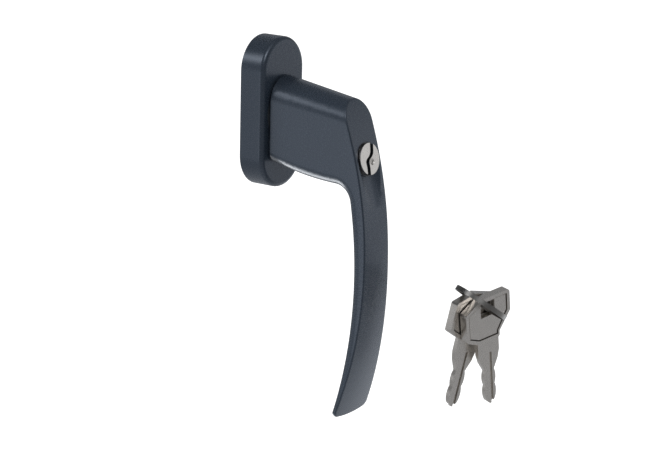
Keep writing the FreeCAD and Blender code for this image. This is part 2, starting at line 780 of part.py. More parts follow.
def lock_cam():
    """The face cam on the plug's tail: half a turn of its ramp drives the bolt by its throw."""
    disc = rod("CamDisc", "cam_radius", CAM_FOOT, CAM_FLOOR)
    turn = "(180 + cam_lead + cam_dwell)"
    profile = doc.addObject("Sketcher::SketchObject", "RampProfile")
    helix = doc.addObject("Part::Helix", "RampLine")
    bind(helix, Pitch="2 * " + CAM_LIFT, Height=CAM_LIFT + " * " + turn + " / 180", Radius="cam_radius")
    helix.LocalCoord = "Left-handed"
    helix.Style = "New style"
    tall = CAM_LIFT + " * " + turn + " / 180 + cam_plate / 2"
    profile.Placement = FreeCAD.Placement(FreeCAD.Vector(), FreeCAD.Rotation(FreeCAD.Vector(1, 0, 0), 90))
    draw(profile, [
        ("cam_bore", "-(%s)" % tall, None),
        ("cam_radius + 1", "-(%s)" % tall, None),
        ("cam_radius + 1", "0", None),
        ("cam_bore", "0", None),
    ])
    ramp = doc.addObject("Part::Sweep", "Ramp")
    ramp.Sections = [profile]
    ramp.Spine = helix
    ramp.Solid = True
    ramp.Frenet = True
    half_turn = math.radians((90 - size("cam_lead")) / 2)
    move(ramp, z="-(%s - %s * cam_lead / 180)" % (CAM_FLOOR, CAM_LIFT),
         axis=(math.cos(half_turn), math.sin(half_turn), 0), angle="180")
    reach = rod("CamReach", "cam_radius", CAM_FOOT, CAM_FLOOR + " + " + CAM_LIFT)
    solid = common("CamBlank", fuse("CamStock", disc, ramp), reach)
    square = slab("CamSquare", "tail_width + 2 * fit_gap", "tail_width + 2 * fit_gap", "0",
                  CAM_FOOT + " + cam_plate / 2")
    hole = rod("CamHole", "cam_screw_shank + end_gap", "0", CAM_FLOOR + " + 1")
    seat = doc.addObject("Part::Cone", "CamSeat")
    bind(seat, Radius1="cam_screw_head + 2 * end_gap", Radius2="cam_screw_shank + 2 * end_gap",
         Height="cam_plate / 2")
    move(seat, z="-" + CAM_FLOOR)
    return node(in_lock(cut("Cam", solid, square, hole, seat)), "lock_cam")


def cam_screw():
    """The countersunk screw that holds the cam on the tail."""
    shank = rod("CamShank", "cam_screw_shank", "keyway_end + 0.4", CAM_FLOOR + " - cam_plate / 4")
    head = doc.addObject("Part::Cone", "CamHead")
    bind(head, Radius1="cam_screw_head", Radius2="cam_screw_shank", Height="cam_plate / 2 - end_gap")
    move(head, z="-%s + end_gap" % CAM_FLOOR)
    slot = slab("CamScrewSlot", "3 * cam_screw_head", "cam_screw_head / 4",
                CAM_FLOOR + " - cam_plate / 4", CAM_FLOOR)
    return node(in_lock(cut("CamScrew", fuse("CamScrewBlank", shank, head), slot)), "cam_screw")


def locking_bolt():
    """The bolt below the spindle: a round nose on the cam, a guided body and the tip that enters
    the base plate."""
    tip = bar("BoltTip", "bolt_radius", "bolt_tip", "bolt_shoulder - bolt_tip + 1", z="bolt_height")
    body = bar("BoltBody", "bolt_body", "bolt_shoulder",
               NOSE_DEPTH + " - bolt_nose_length - bolt_shoulder", z="bolt_height")
    neck = bar("BoltNose", "bolt_nose", NOSE_DEPTH + " - bolt_nose_length - 1",
               "bolt_nose_length - bolt_nose + 1", z="bolt_height")
    ball = doc.addObject("Part::Sphere", "BoltBall")
    bind(ball, Radius="bolt_nose")
    move(ball, y="-(%s - bolt_nose)" % NOSE_DEPTH, z="bolt_height")
    return node(fuse("Bolt", tip, body, neck, ball), "locking_bolt")


def bolt_spring():
    """The spring round the bolt that keeps its nose on the cam, as a sleeve of its outer size."""
    length = "bolt_shoulder - bolt_guide_end - 2 * end_gap"
    outer = bar("BoltSpringOuter", "bolt_body - running_gap", "bolt_guide_end + end_gap", length,
                z="bolt_height")
    inner = bar("BoltSpringInner", "bolt_radius + 2 * running_gap", "bolt_guide_end", "bolt_shoulder",
                z="bolt_height")
    return node(cut("BoltSpring", outer, inner), "bolt_spring")


def housing_screw():
    """The grub screw in the handle's crook that holds the lock housing."""
    top = tilted_bore_floor("grub_depth - grub_radius")
    shank = doc.addObject("Part::Cylinder", "Grub")
    bind(shank, Radius="grub_radius", Height="grub_length")
    move(shank, y="-grub_depth", z=top + " - grub_length")
    socket = doc.addObject("Part::Prism", "GrubSocket")
    socket.Polygon = 6
    bind(socket, Circumradius="grub_socket", Height="grub_length / 2")
    move(socket, y="-grub_depth", z=top + " - grub_length")
    return node(cut("GrubScrew", shank, socket), "housing_screw")


def bow_points(rim):
    """The bow's outline, set in by a rim."""
    return [
        ("-bow_shift + (%s) / 3" % rim, "bow_top - (%s)" % rim, None),
        ("-bow_half + (%s)" % rim, "bow_top - bow_cut - (%s) / 3" % rim, None),
        ("-bow_half + (%s)" % rim, "bow_low + (%s) * 0.7" % rim, None),
        ("-blade_shoulder + (%s) / 5" % rim, "bow_low - bow_slant + (%s)" % rim, None),
        ("blade_shoulder - (%s) / 2" % rim, "bow_low - bow_slant + (%s)" % rim, None),
        ("blade_shoulder - (%s) / 2" % rim, "bow_low + (%s) / 3" % rim, None),
        ("bow_half - (%s)" % rim, "bow_low + bow_bevel + (%s) / 3" % rim, None),
        ("bow_half - (%s)" % rim, "bow_top - (%s)" % rim, None),
    ]


def key(name, label, lean, tip, yaw, x, y, z):
    """A key with a six-sided bow, a sunk panel on both its faces, and a waved blade with a groove
    along each face. The bow's window has its centre at the key's own origin."""
    bow_body = doc.addObject("PartDesign::Body", name + "Bow")
    bow = outline(bow_body, name + "BowOutline", "XZ_Plane", bow_points("0"))
    bow_pad = pad(bow_body, name + "BowPad", bow, "bow_thickness", middle=True)
    doc.recompute()
    corners = [
        "Edge%d" % number
        for number in edges_where(bow_pad.Shape,
                                  lambda edge: edge.BoundBox.YLength > size("bow_thickness") - 0.01)
    ]
    rounding = bow_body.newObject("PartDesign::Fillet", name + "BowRounding")
    rounding.Base = (bow_pad, corners)
    bind(rounding, Radius="bow_corner")
    panel_body = doc.addObject("PartDesign::Body", name + "Panel")
    panel = outline(panel_body, name + "PanelOutline", "XZ_Plane", bow_points("bow_rim"))
    pad(panel_body, name + "PanelPad", panel, "2 * bow_thickness", middle=True)
    web = block(name + "Web", "3 * bow_half", "bow_web", "3 * bow_half", near="-bow_web / 2")
    blade_body = doc.addObject("PartDesign::Body", name + "Blade")
    blade = outline(blade_body, name + "BladeOutline", "XZ_Plane", [
        ("-blade_shoulder", "bow_low + bow_rim / 2", None),
        ("-blade_shoulder", "blade_step", None),
        ("-blade_shoulder + 1", "blade_step - 4", None),
        ("-blade_waist", "blade_step - 9", "blade_wave"),
        ("-blade_waist", "blade_step - 16.5", "blade_wave"),
        ("-blade_waist + 0.3", "blade_tip + 1.8", None),
        ("-blade_waist / 5", "blade_tip", None),
        ("blade_waist / 5", "blade_tip", None),
        ("blade_waist - 0.3", "blade_tip + 1.8", "blade_wave"),
        ("blade_waist", "blade_step - 16.5", "blade_wave"),
        ("blade_waist", "blade_step - 9", None),
        ("blade_shoulder - 1", "blade_step - 4", None),
        ("blade_shoulder", "blade_step", None),
        ("blade_shoulder", "bow_low + bow_rim / 2", None),
    ])
    pad(blade_body, name + "BladePad", blade, "blade_thickness", middle=True)
    window = block(name + "Window", "bow_window", "2 * bow_thickness", "bow_window", near="-bow_thickness")
    grooves = [
        block(name + "Groove" + side, "groove_width", "blade_thickness", "blade_step - blade_tip",
              x="%s * groove_width * 0.8" % side_x, near=near, z="(blade_step + blade_tip) / 2")
        for side, side_x, near in (("Front", "1", "blade_thickness / 2 - groove_depth"),
                                   ("Rear", "-1", "groove_depth - blade_thickness * 1.5"))
    ]
    sunk = cut(name + "Sunk", panel_body, web)
    blank = cut(name + "Blank", fuse(name + "Stock", bow_body, blade_body), window, sunk, *grooves)
    move(blank, axis=(0, 1, 0), angle=lean)
    tipped = doc.addObject("Part::Compound", name + "Tipped")
    tipped.Links = [blank]
    move(tipped, axis=(1, 0, 0), angle=tip)
    hung = doc.addObject("Part::Compound", name)
    hung.Links = [tipped]
    return node(move(hung, x=x, y=y, z=z, axis=(0, 0, 1), angle=yaw), label)


def key_ring():
    """The flat strap ring through both bows."""
    outer = doc.addObject("Part::Cylinder", "RingOuter")
    bind(outer, Radius="ring_radius", Height="ring_width")
    inner = doc.addObject("Part::Cylinder", "RingInner")
    bind(inner, Radius="ring_radius - ring_wall", Height="ring_width")
    for cylinder in (outer, inner):
        move(cylinder, z="-ring_width / 2")
    turn = math.radians(size("ring_heading"))
    ring = cut("Ring", outer, inner)
    return node(move(ring, x="ring_x", y="ring_y", z="ring_z", axis=(math.cos(turn), math.sin(turn), 0),
                     angle="ring_lean"), "key_ring")


rosette_cover()
base_plate()
bearing_bush()
thrust_washer()
retaining_ring()
detent_ring()
detent_ball("UpperBall", "detent_ball_upper", 1)
detent_ball("LowerBall", "detent_ball_lower", -1)
detent_spring("UpperSpring", "detent_spring_upper", 1)
detent_spring("LowerSpring", "detent_spring_lower", -1)
spindle_spring()
handle()
lock_housing()
lock_plug()
lock_wafers()
lock_cam()
cam_screw()
locking_bolt()
bolt_spring()
housing_screw()
key("FrontKey", "key_right", "front_lean", "front_tip", "front_yaw",
    "front_key_x", "front_key_y", "front_key_z")
key("RearKey", "key_left", "rear_lean", "rear_tip", "rear_yaw",
    "rear_key_x", "rear_key_y", "rear_key_z")
key_ring()
doc.recompute()

for item in doc.Objects:
    if "Invalid" in item.State or "Error" in item.State:
        raise ValueError(item.Name + " could not be made: " + item.getStatusString())
for item in NODES:
    if item.Shape.isNull() or not item.Shape.isValid():
        raise ValueError(item.Label + " has no sound shape")

os.makedirs("parts", exist_ok=True)
for item in NODES:
    item.Shape.exportStep("parts/%s.step" % item.Label)
    print(item.Label, round(item.Shape.Volume, 1), len(item.Shape.Solids))
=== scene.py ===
import math

import bmesh
import bpy
from bpy.props import FloatProperty, FloatVectorProperty, IntProperty, PointerProperty
from mathutils import Matrix, Vector


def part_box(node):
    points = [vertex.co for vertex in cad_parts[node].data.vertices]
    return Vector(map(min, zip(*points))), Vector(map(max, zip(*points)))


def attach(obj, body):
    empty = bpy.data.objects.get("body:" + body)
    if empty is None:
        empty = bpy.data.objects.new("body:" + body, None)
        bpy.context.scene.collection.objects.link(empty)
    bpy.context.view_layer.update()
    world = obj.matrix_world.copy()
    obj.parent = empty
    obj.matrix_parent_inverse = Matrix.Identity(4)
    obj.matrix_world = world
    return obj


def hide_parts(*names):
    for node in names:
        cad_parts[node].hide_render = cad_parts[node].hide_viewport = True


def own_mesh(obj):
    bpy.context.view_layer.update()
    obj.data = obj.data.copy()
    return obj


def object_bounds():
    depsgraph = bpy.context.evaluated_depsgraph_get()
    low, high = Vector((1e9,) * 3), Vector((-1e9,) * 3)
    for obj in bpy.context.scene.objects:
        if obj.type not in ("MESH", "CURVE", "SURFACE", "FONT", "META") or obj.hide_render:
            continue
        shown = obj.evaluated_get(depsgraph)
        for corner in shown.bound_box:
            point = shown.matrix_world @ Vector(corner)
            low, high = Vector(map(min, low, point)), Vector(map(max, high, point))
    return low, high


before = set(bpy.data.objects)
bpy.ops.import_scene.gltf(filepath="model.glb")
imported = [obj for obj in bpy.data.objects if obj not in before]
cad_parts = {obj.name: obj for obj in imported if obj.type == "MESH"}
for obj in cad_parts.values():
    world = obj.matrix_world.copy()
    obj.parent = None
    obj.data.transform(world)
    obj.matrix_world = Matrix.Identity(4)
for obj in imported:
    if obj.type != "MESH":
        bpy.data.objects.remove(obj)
FRAME_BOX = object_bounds()

bl_info = {
    "name": "Locking Window Handle",
    "version": (1, 0, 0),
    "blender": (4, 5, 0),
    "location": "View3D > Sidebar > Handle",
    "description": "Dresses a locking window handle with its keys, and sets its studio",
    "category": "Object",
}

MM = 0.001
# Two points this near in height lie on the same flat side.
LEVEL = 0.02 * MM
# A face looks along a direction, or is square to it, where its normal has this share in it.
FACING = 0.9
SQUARE_ON = 0.99

# The camera that was fitted to the photograph: its right, up and back, and how far it stands
# along each, in metres.
CAMERA_RIGHT = Vector((0.58859, -0.80805, 0.02469))
CAMERA_UP = Vector((0.18507, 0.16442, 0.96887))
CAMERA_BACK = Vector((-0.78696, -0.56570, 0.24632))
CAMERA_STANDS = (0.02868, -0.05225, 0.9)

# What the lamps look at, a point in the grip. A lamp's azimuth counts from +X towards +Y and its
# height from the horizon, both in degrees; then come its distance and its size in metres.
LAMP_AIM = Vector((0.0, -0.04, -0.06))
MAIN_LAMP = (124, 20, 0.9, 0.6)
RIM_CARD = (98, -50, 1.0, 0.55)

# The soft boxes that shiny faces mirror: azimuth and height as above, how wide each glows, in
# degrees, and how bright it is. A black flag has a brightness below zero.
SOFT_BOXES = (
    (-8, -18, 14, 1.6),
    (-20, -36, 14, 0.4),
    (156, -10, 12, 1.9),
    (140, 30, 9, 6.5),
    (-139, 44, 11, 9.0),
    (25, 29, 13, 0.42),
    (-40, 4, 18, 0.95),
    (66, -14, 15, -0.14),
    (40, -8, 12, -0.1),
    (115, -2, 10, 0.8),
    (-101, 60, 20, 0.8),
)
DARKEST_MIRRORED = 0.04
COOL_WHITE = (0.95, 0.99, 1.06, 1.0)
WHITE = (1.0, 1.0, 1.0, 1.0)
# The floor reaches this far each way, in metres. Its paper is pale grey, and its own glow brings
# it to white where the camera sees it.
FLOOR_HALF = 6.0
PAPER_GREY = (0.8, 0.8, 0.8, 1.0)
PAPER_GLOW = 0.55

# The arc that the grip's face follows: its foremost point, that point's height and the radius.
FACE_FRONT = -65.59 * MM
FACE_HEIGHT = -64.3 * MM
FACE_BEND = 196.3 * MM
# The crown starts at a height and is full a fade further down. It bends what lies within a reach
# of the face, and is full at half the grip's width, in a number of strips from the middle.
CROWN_START = -40 * MM
CROWN_FADE = 20 * MM
CROWN_REACH = 4 * MM
GRIP_HALF = 12 * MM
CROWN_STRIPS = 6

# The keyway's middle line on the plug's face, as height and sideways place in mm, from below.
KEYWAY_LINE = ((-8.0, -1.8), (-2.4, -1.5), (0.3, 0.1), (3.0, 2.1), (8.0, 2.9))
KEYWAY_DEPTH = 2.4 * MM
DEPTH_MARGIN = 0.05 * MM
# How far beside that line its walls lie at the least and at the most. An edge of a wall that is
# longer than LONG_EDGE is divided, so that the wall can bend.
WALL_NEAR = 0.35 * MM
WALL_FAR = 1.15 * MM
LONG_EDGE = 0.4 * MM
WALL_CUTS = 3
# How the drawn keyway differs: where it bows to the left round the dimple, and how far each wall
# moves out. A point nearer to the middle line than MIDDLE_STRIP belongs to no wall.
BOW_SIZE = -0.8 * MM
BOW_HEIGHT = -0.4 * MM
BOW_SPREAD = 1.8 * MM
LEFT_WALL_SHIFT = -0.4 * MM
RIGHT_WALL_SHIFT = 0.25 * MM
MIDDLE_STRIP = 0.45 * MM
# A point nearer to the plug's edge than RIM_WIDTH stays on that edge, and doesn't move if it is
# further from the middle line than RIM_WALL_FAR. The keyway's faces, which carry its painted shade,
# end RIM_FACES before the edge.
RIM_WIDTH = 0.1 * MM
RIM_WALL_FAR = 1.1 * MM
RIM_FACES = 0.3 * MM
# The dimple's middle on the plug's face, the circle that holds its points, how much it is widened
# and the circle that then holds its faces.
DIMPLE = Vector((1.4, -1.4)) * MM
DIMPLE_CIRCLE = 1.2 * MM
DIMPLE_GROWTH = 1.3
DIMPLE_FACES = 1.5 * MM

# Heights in a key, from its middle plane: the bow's panel in the CAD and as drawn, and the floor
# of the blade's groove in the CAD and as drawn. The groove round the panel has a width.
PANEL_FROM = 0.65 * MM
PANEL_TO = 1.75 * MM
GROOVE_FROM = 0.6 * MM
GROOVE_TO = 0.2 * MM
PANEL_GROOVE = 0.5 * MM
KEY_ROUNDING = 0.15 * MM

# Each spring's wire has this many sides, and its coil this many steps.
WIRE_SIDES = 10
STEPS_A_TURN = 20

# Numbers of a Mix node's colour sockets, which share their names with those of other types.
MIX_FACTOR, MIX_FIRST, MIX_SECOND, MIX_RESULT = 0, 6, 7, 2

# How wide the slow changes of tone are in each finish.
COAT_CLOUD = 22.2 * MM
METAL_CLOUD = 3.85 * MM
CAST_MOTTLE = 3.125 * MM
SLEEVE_CLOUD = 2 * MM
NYLON_CLOUD = 8.33 * MM
# The axis that brush lines run along, and a line's width over its length.
ALONG_Y, ALONG_Z = 1, 2
BRUSH_STRETCH = 0.06


def linear(text):
    """An sRGB hex colour as linear red, green and blue."""
    channels = [int(text[place:place + 2], 16) / 255 for place in (1, 3, 5)]
    return tuple(value / 12.92 if value <= 0.04045 else ((value + 0.055) / 1.055) ** 2.4
                 for value in channels)


class HandleLook(bpy.types.PropertyGroup):
    """Colours and finishes of the handle's pieces"""

    coat_colour: FloatVectorProperty(
        name="Coat", description="Colour of the coat on grip and rosette",
        subtype="COLOR", size=3, min=0.0, max=1.0, default=linear("#2B343F"))
    coat_roughness: FloatProperty(
        name="Coat roughness", description="How satin the coat is",
        min=0.0, max=1.0, default=0.27)
    coat_grain: FloatProperty(
        name="Coat grain", description="Size of the coat's fine grain",
        subtype="DISTANCE", min=0.00005, max=0.002, default=0.35 * MM)
    grip_crown: FloatProperty(
        name="Grip crown", description="How far the grip's face falls off towards its sides",
        subtype="DISTANCE", min=0.0, max=0.001, default=0.45 * MM)
    nickel_colour: FloatVectorProperty(
        name="Nickel", description="Colour of plug face and keys",
        subtype="COLOR", size=3, min=0.0, max=1.0, default=linear("#C6C0B8"))
    nickel_roughness: FloatProperty(
        name="Nickel roughness", description="How dull the nickel plate is",
        min=0.0, max=1.0, default=0.26)
    brush_width: FloatProperty(
        name="Brush line width", description="Distance between the brush lines on nickel",
        subtype="DISTANCE", min=0.00002, max=0.001, default=0.12 * MM)


class StudioSettings(bpy.types.PropertyGroup):
    """Light, floor and camera"""

    rim_strength: FloatProperty(
        name="Rim card", description="Power of the card that lights the neck's lower edge",
        unit="POWER", min=0.0, default=7.0)
    window_strength: FloatProperty(
        name="Main lamp", description="Power of the large lamp at the left",
        unit="POWER", min=0.0, default=3.0)
    sky_strength: FloatProperty(
        name="Surround", description="Strength of the white surround on matt faces",
        min=0.0, max=2.0, default=0.85)
    mirror_base: FloatProperty(
        name="Mirrored surround", description="What shiny faces see between the soft boxes",
        min=0.0, max=1.0, default=0.22)
    mirror_floor: FloatProperty(
        name="Mirrored floor", description="How much brighter shiny faces see the floor below",
        min=0.0, max=2.0, default=0.55)
    floor_drop: FloatProperty(
        name="Floor drop", description="How far the floor lies below the object",
        subtype="DISTANCE", min=0.0, default=30 * MM)
    focal_length: FloatProperty(
        name="Focal length", description="Lens of the camera, in millimetres",
        min=10.0, max=300.0, default=111.05)


class HardwareSizes(bpy.types.PropertyGroup):
    """Sizes of the springs"""

    bolt_turns: IntProperty(
        name="Bolt spring turns", description="Turns of the bolt spring", min=3, default=8)
    bolt_wire: FloatProperty(
        name="Bolt spring wire", description="Thickness of the bolt spring's wire",
        subtype="DISTANCE", min=0.0002, default=0.6 * MM)
    ball_turns: IntProperty(
        name="Detent spring turns", description="Turns of each detent spring", min=2, default=4)
    ball_wire: FloatProperty(
        name="Detent spring wire", description="Thickness of a detent spring's wire",
        subtype="DISTANCE", min=0.0001, default=0.45 * MM)


def add_node(tree, kind, values=None, links=None):
    """Adds a shader node, gives its settings and sockets their values, and links its sockets. A
    socket goes by its name, or by its number where a node has several of one name."""
    node = tree.nodes.new(kind)
    for key, value in (values or {}).items():
        if isinstance(key, int) or key in node.inputs:
            node.inputs[key].default_value = value
        else:
            setattr(node, key, value)
    for key, source in (links or {}).items():
        tree.links.new(source, node.inputs[key])
    return node


def new_material(name):
    """An empty node material, its tree and the Object coordinates."""
    material = bpy.data.materials.new(name)
    material.use_nodes = True
    tree = material.node_tree
    tree.nodes.clear()
    return material, tree, add_node(tree, "ShaderNodeTexCoord").outputs["Object"]


def grain_bump(tree, place, size, height, detail):
    """A fine, even relief: noise whose grains have a real size."""
    grain = add_node(tree, "ShaderNodeTexNoise",
                     {"Scale": 1.0 / size, "Detail": detail, "Roughness": 0.55}, {"Vector": place})
    return add_node(tree, "ShaderNodeBump", {"Strength": 0.35, "Distance": height},
                    {"Height": grain.outputs["Fac"]})


def coat_material(look):
    # Powder coat on a zinc die casting: satin, with a little metal flake and a grain so fine that
    # it only softens the highlights, and a slow change of tone where the coat lies thicker.
    material, tree, place = new_material("SatinPowderCoat")
    cloud = add_node(tree, "ShaderNodeTexNoise", {"Scale": 1.0 / COAT_CLOUD, "Detail": 2.0},
                     {"Vector": place})
    grain = add_node(tree, "ShaderNodeTexNoise", {"Scale": 1.0 / look.coat_grain, "Detail": 3.0},
                     {"Vector": place})
    thin, thick = Vector(look.coat_colour) * 0.97, Vector(look.coat_colour) * 1.03
    tone = add_node(tree, "ShaderNodeMix", {
        "data_type": "RGBA", MIX_FIRST: (*thin, 1.0), MIX_SECOND: (*thick, 1.0)},
        {MIX_FACTOR: cloud.outputs["Fac"]})
    sheen = add_node(tree, "ShaderNodeMapRange", {
        "To Min": look.coat_roughness - 0.015, "To Max": look.coat_roughness + 0.02},
        {"Value": grain.outputs["Fac"]})
    bump = add_node(tree, "ShaderNodeBump", {"Strength": 0.15, "Distance": 0.01 * MM},
                    {"Height": grain.outputs["Fac"]})
    shader = add_node(tree, "ShaderNodeBsdfPrincipled", {"Metallic": 0.25, "IOR": 1.5}, {
        "Base Color": tone.outputs[MIX_RESULT], "Roughness": sheen.outputs["Result"],
        "Normal": bump.outputs["Normal"]})
    add_node(tree, "ShaderNodeOutputMaterial", None, {"Surface": shader.outputs["BSDF"]})
    return material


def brushed_metal(name, colour, roughness, width, along):
    """A metal with straight brush lines a given distance apart, along one axis. Real lines lie
    closer, and these are as coarse as they need to be to show."""
    material, tree, place = new_material(name)
    stretch = [1.0 / width] * 3
    stretch[along] = BRUSH_STRETCH / width
    way = add_node(tree, "ShaderNodeMapping", {"Scale": stretch}, {"Vector": place})
    lines = add_node(tree, "ShaderNodeTexNoise", {"Scale": 1.0, "Detail": 3.0, "Roughness": 0.6},
                     {"Vector": way.outputs["Vector"]})
    cloud = add_node(tree, "ShaderNodeTexNoise", {"Scale": 1.0 / METAL_CLOUD, "Detail": 2.0},
                     {"Vector": place})
    bright, dull = Vector(colour), Vector(colour) * 0.86
    tone = add_node(tree, "ShaderNodeMix", {
        "data_type": "RGBA", MIX_FIRST: (*dull, 1.0), MIX_SECOND: (*bright, 1.0)},
        {MIX_FACTOR: cloud.outputs["Fac"]})
    sheen = add_node(tree, "ShaderNodeMapRange", {
        "To Min": roughness - 0.05, "To Max": roughness + 0.1}, {"Value": lines.outputs["Fac"]})
    bump = add_node(tree, "ShaderNodeBump", {"Strength": 0.2, "Distance": 0.01 * MM},
                    {"Height": lines.outputs["Fac"]})
    shader = add_node(tree, "ShaderNodeBsdfPrincipled", {"Metallic": 1.0}, {
        "Base Color": tone.outputs[MIX_RESULT], "Roughness": sheen.outputs["Result"],
        "Normal": bump.outputs["Normal"]})
    add_node(tree, "ShaderNodeOutputMaterial", None, {"Surface": shader.outputs["BSDF"]})
    return material


def nickel_material(look):
    # Nickel plate on brass, finely brushed: bright, slightly warm, with lines along the blade.
    return brushed_metal("BrushedNickel", look.nickel_colour, look.nickel_roughness,
                         width=look.brush_width, along=ALONG_Z)


def plated_steel():
    # Zinc-plated steel: cool grey, half dull, with the cloudy tone of the plating bath.
    return brushed_metal("ZincPlatedSteel", linear("#B4B8BC"), roughness=0.34,
                         width=0.4 * MM, along=ALONG_Y)


def strap_steel():
    # Steel strip with a thin nickel layer, drawn and tumbled: duller and darker than the springs.
    return brushed_metal("StrapSteel", linear("#85827D"), roughness=0.3,
                         width=0.15 * MM, along=ALONG_Z)


def spring_steel():
    # Polished spring steel: bright, with faint drawing lines.
    return brushed_metal("SpringSteel", linear("#A09E9A"), roughness=0.2,
                         width=0.15 * MM, along=ALONG_Z)


def turned_brass():
    # Plain turned brass: yellow and fairly bright.
    return brushed_metal("TurnedBrass", linear("#C9A85C"), roughness=0.3,
                         width=0.2 * MM, along=ALONG_Y)


def cast_zinc():
    # Raw zinc die casting: grey metal with a dull, slightly mottled skin.
    material, tree, place = new_material("RawZincCasting")
    mottle = add_node(tree, "ShaderNodeTexNoise", {"Scale": 1.0 / CAST_MOTTLE, "Detail": 3.0},
                      {"Vector": place})
    tone = add_node(tree, "ShaderNodeValToRGB", None, {"Fac": mottle.outputs["Fac"]})
    dark, light = tone.color_ramp.elements
    dark.color = (*linear("#84888B"), 1.0)
    light.color = (*linear("#A6AAAD"), 1.0)
    bump = grain_bump(tree, place, size=0.5 * MM, height=0.03 * MM, detail=2.0)
    shader = add_node(tree, "ShaderNodeBsdfPrincipled", {"Metallic": 0.85, "Roughness": 0.48}, {
        "Base Color": tone.outputs["Color"], "Normal": bump.outputs["Normal"]})
    add_node(tree, "ShaderNodeOutputMaterial", None, {"Surface": shader.outputs["BSDF"]})
    return material


def dull_skin(name, colours, roughness, ior, cloud, relief):
    """A skin that isn't bare metal. Its tone drifts between two colours in clouds of a size and
    detail, and its relief has grains of a size, height and detail."""
    material, tree, place = new_material(name)
    dark, light = colours
    size, detail = cloud
    drift = add_node(tree, "ShaderNodeTexNoise", {"Scale": 1.0 / size, "Detail": detail},
                     {"Vector": place})
    tone = add_node(tree, "ShaderNodeMix", {
        "data_type": "RGBA", MIX_FIRST: (*linear(dark), 1.0), MIX_SECOND: (*linear(light), 1.0)},
        {MIX_FACTOR: drift.outputs["Fac"]})
    bump = grain_bump(tree, place, *relief)
    shader = add_node(tree, "ShaderNodeBsdfPrincipled", {"Roughness": roughness, "IOR": ior}, {
        "Base Color": tone.outputs[MIX_RESULT], "Normal": bump.outputs["Normal"]})
    add_node(tree, "ShaderNodeOutputMaterial", None, {"Surface": shader.outputs["BSDF"]})
    return material


def black_coat_and_keyway_shade():
    # Black-coated zinc of the lock sleeve, and painted shade on the keyway's inside, where a deep
    # slot is dark: dark, half gloss.
    return dull_skin("BlackCoatAndKeywayShade", ("#14171A", "#22262A"), roughness=0.4, ior=1.5,
                     cloud=(SLEEVE_CLOUD, 1.0), relief=(0.25 * MM, 0.015 * MM, 2.0))


def moulded_nylon():
    # Moulded grey nylon: matt, with the faint spark-eroded grain of the mould.
    return dull_skin("MouldedNylon", ("#33373B", "#3C4145"), roughness=0.55, ior=1.53,
                     cloud=(NYLON_CLOUD, 2.0), relief=(0.3 * MM, 0.03 * MM, 3.0))


def piece_from(shape, name, body, material):
    """Makes an object from a bmesh, gives it its material, and lets it ride on a body."""
    mesh = bpy.data.meshes.new(name)
    shape.to_mesh(mesh)
    shape.free()
    mesh.materials.append(material)
    piece = bpy.data.objects.new(name, mesh)
    bpy.context.scene.collection.objects.link(piece)
    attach(piece, body)
    return piece


def smooth_by_angle(shape, degrees):
    """Smooth faces, with sharp edges where two faces meet at more than an angle."""
    for face in shape.faces:
        face.smooth = True
    for edge in shape.edges:
        edge.smooth = edge.calc_face_angle(math.pi) < math.radians(degrees)


def merged_copy(node, flat=False):
    """A bmesh of a frame node with its doubled points merged, and its flat faces whole again."""
    shape = bmesh.new()
    shape.from_mesh(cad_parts[node].data)
    bmesh.ops.remove_doubles(shape, verts=shape.verts, dist=0.002 * MM)
    if flat:
        bmesh.ops.dissolve_limit(shape, angle_limit=math.radians(1.0),
                                 use_dissolve_boundaries=False,
                                 verts=shape.verts, edges=shape.edges, delimit=set())
    return shape


def crown_face(shape, crown):
    """Gives the grip's flat face a soft crown: full height in its middle, lower at its sides."""
    for step in range(1 - CROWN_STRIPS, CROWN_STRIPS):
        below = [face for face in shape.faces
                 if max(vert.co.z for vert in face.verts) < CROWN_START]
        parts = list({part for face in below for part in (*face.verts, *face.edges, face)})
        bmesh.ops.bisect_plane(shape, geom=parts, plane_no=(1, 0, 0),
                               plane_co=(step * GRIP_HALF / CROWN_STRIPS, 0, 0))
    for vert in shape.verts:
        x, y, z = vert.co
        face = FACE_FRONT + FACE_BEND - math.sqrt(FACE_BEND ** 2 - (z - FACE_HEIGHT) ** 2)
        near = max(0.0, 1.0 - abs(y - face) / CROWN_REACH)
        low = min(1.0, max(0.0, (CROWN_START - z) / CROWN_FADE))
        vert.co.y += crown * near * low * min(1.0, (x / GRIP_HALF) ** 2)


def keyway_middle(height):
    """How far to the right the keyway's middle line lies at a height above the plug's axis."""
    for (low, low_x), (high, high_x) in zip(KEYWAY_LINE, KEYWAY_LINE[1:]):
        if height / MM <= high:
            break
    return (low_x + (high_x - low_x) * (height / MM - low) / (high - low)) * MM


def refill(shape, out, level):
    """Fills a flat side anew, after its outline was moved."""
    def on_level(item):
        return all(abs(vert.co.dot(out) - level) < LEVEL for vert in item.verts)

    stale = [face for face in shape.faces if on_level(face)]
    bmesh.ops.delete(shape, geom=stale, context="FACES_ONLY")
    loose = [edge for edge in shape.edges if edge.is_wire]
    bmesh.ops.delete(shape, geom=loose, context="EDGES")
    outline = [edge for edge in shape.edges if edge.is_boundary and on_level(edge)]
    bmesh.ops.triangle_fill(shape, edges=outline, normal=out, use_beauty=True, use_dissolve=False)


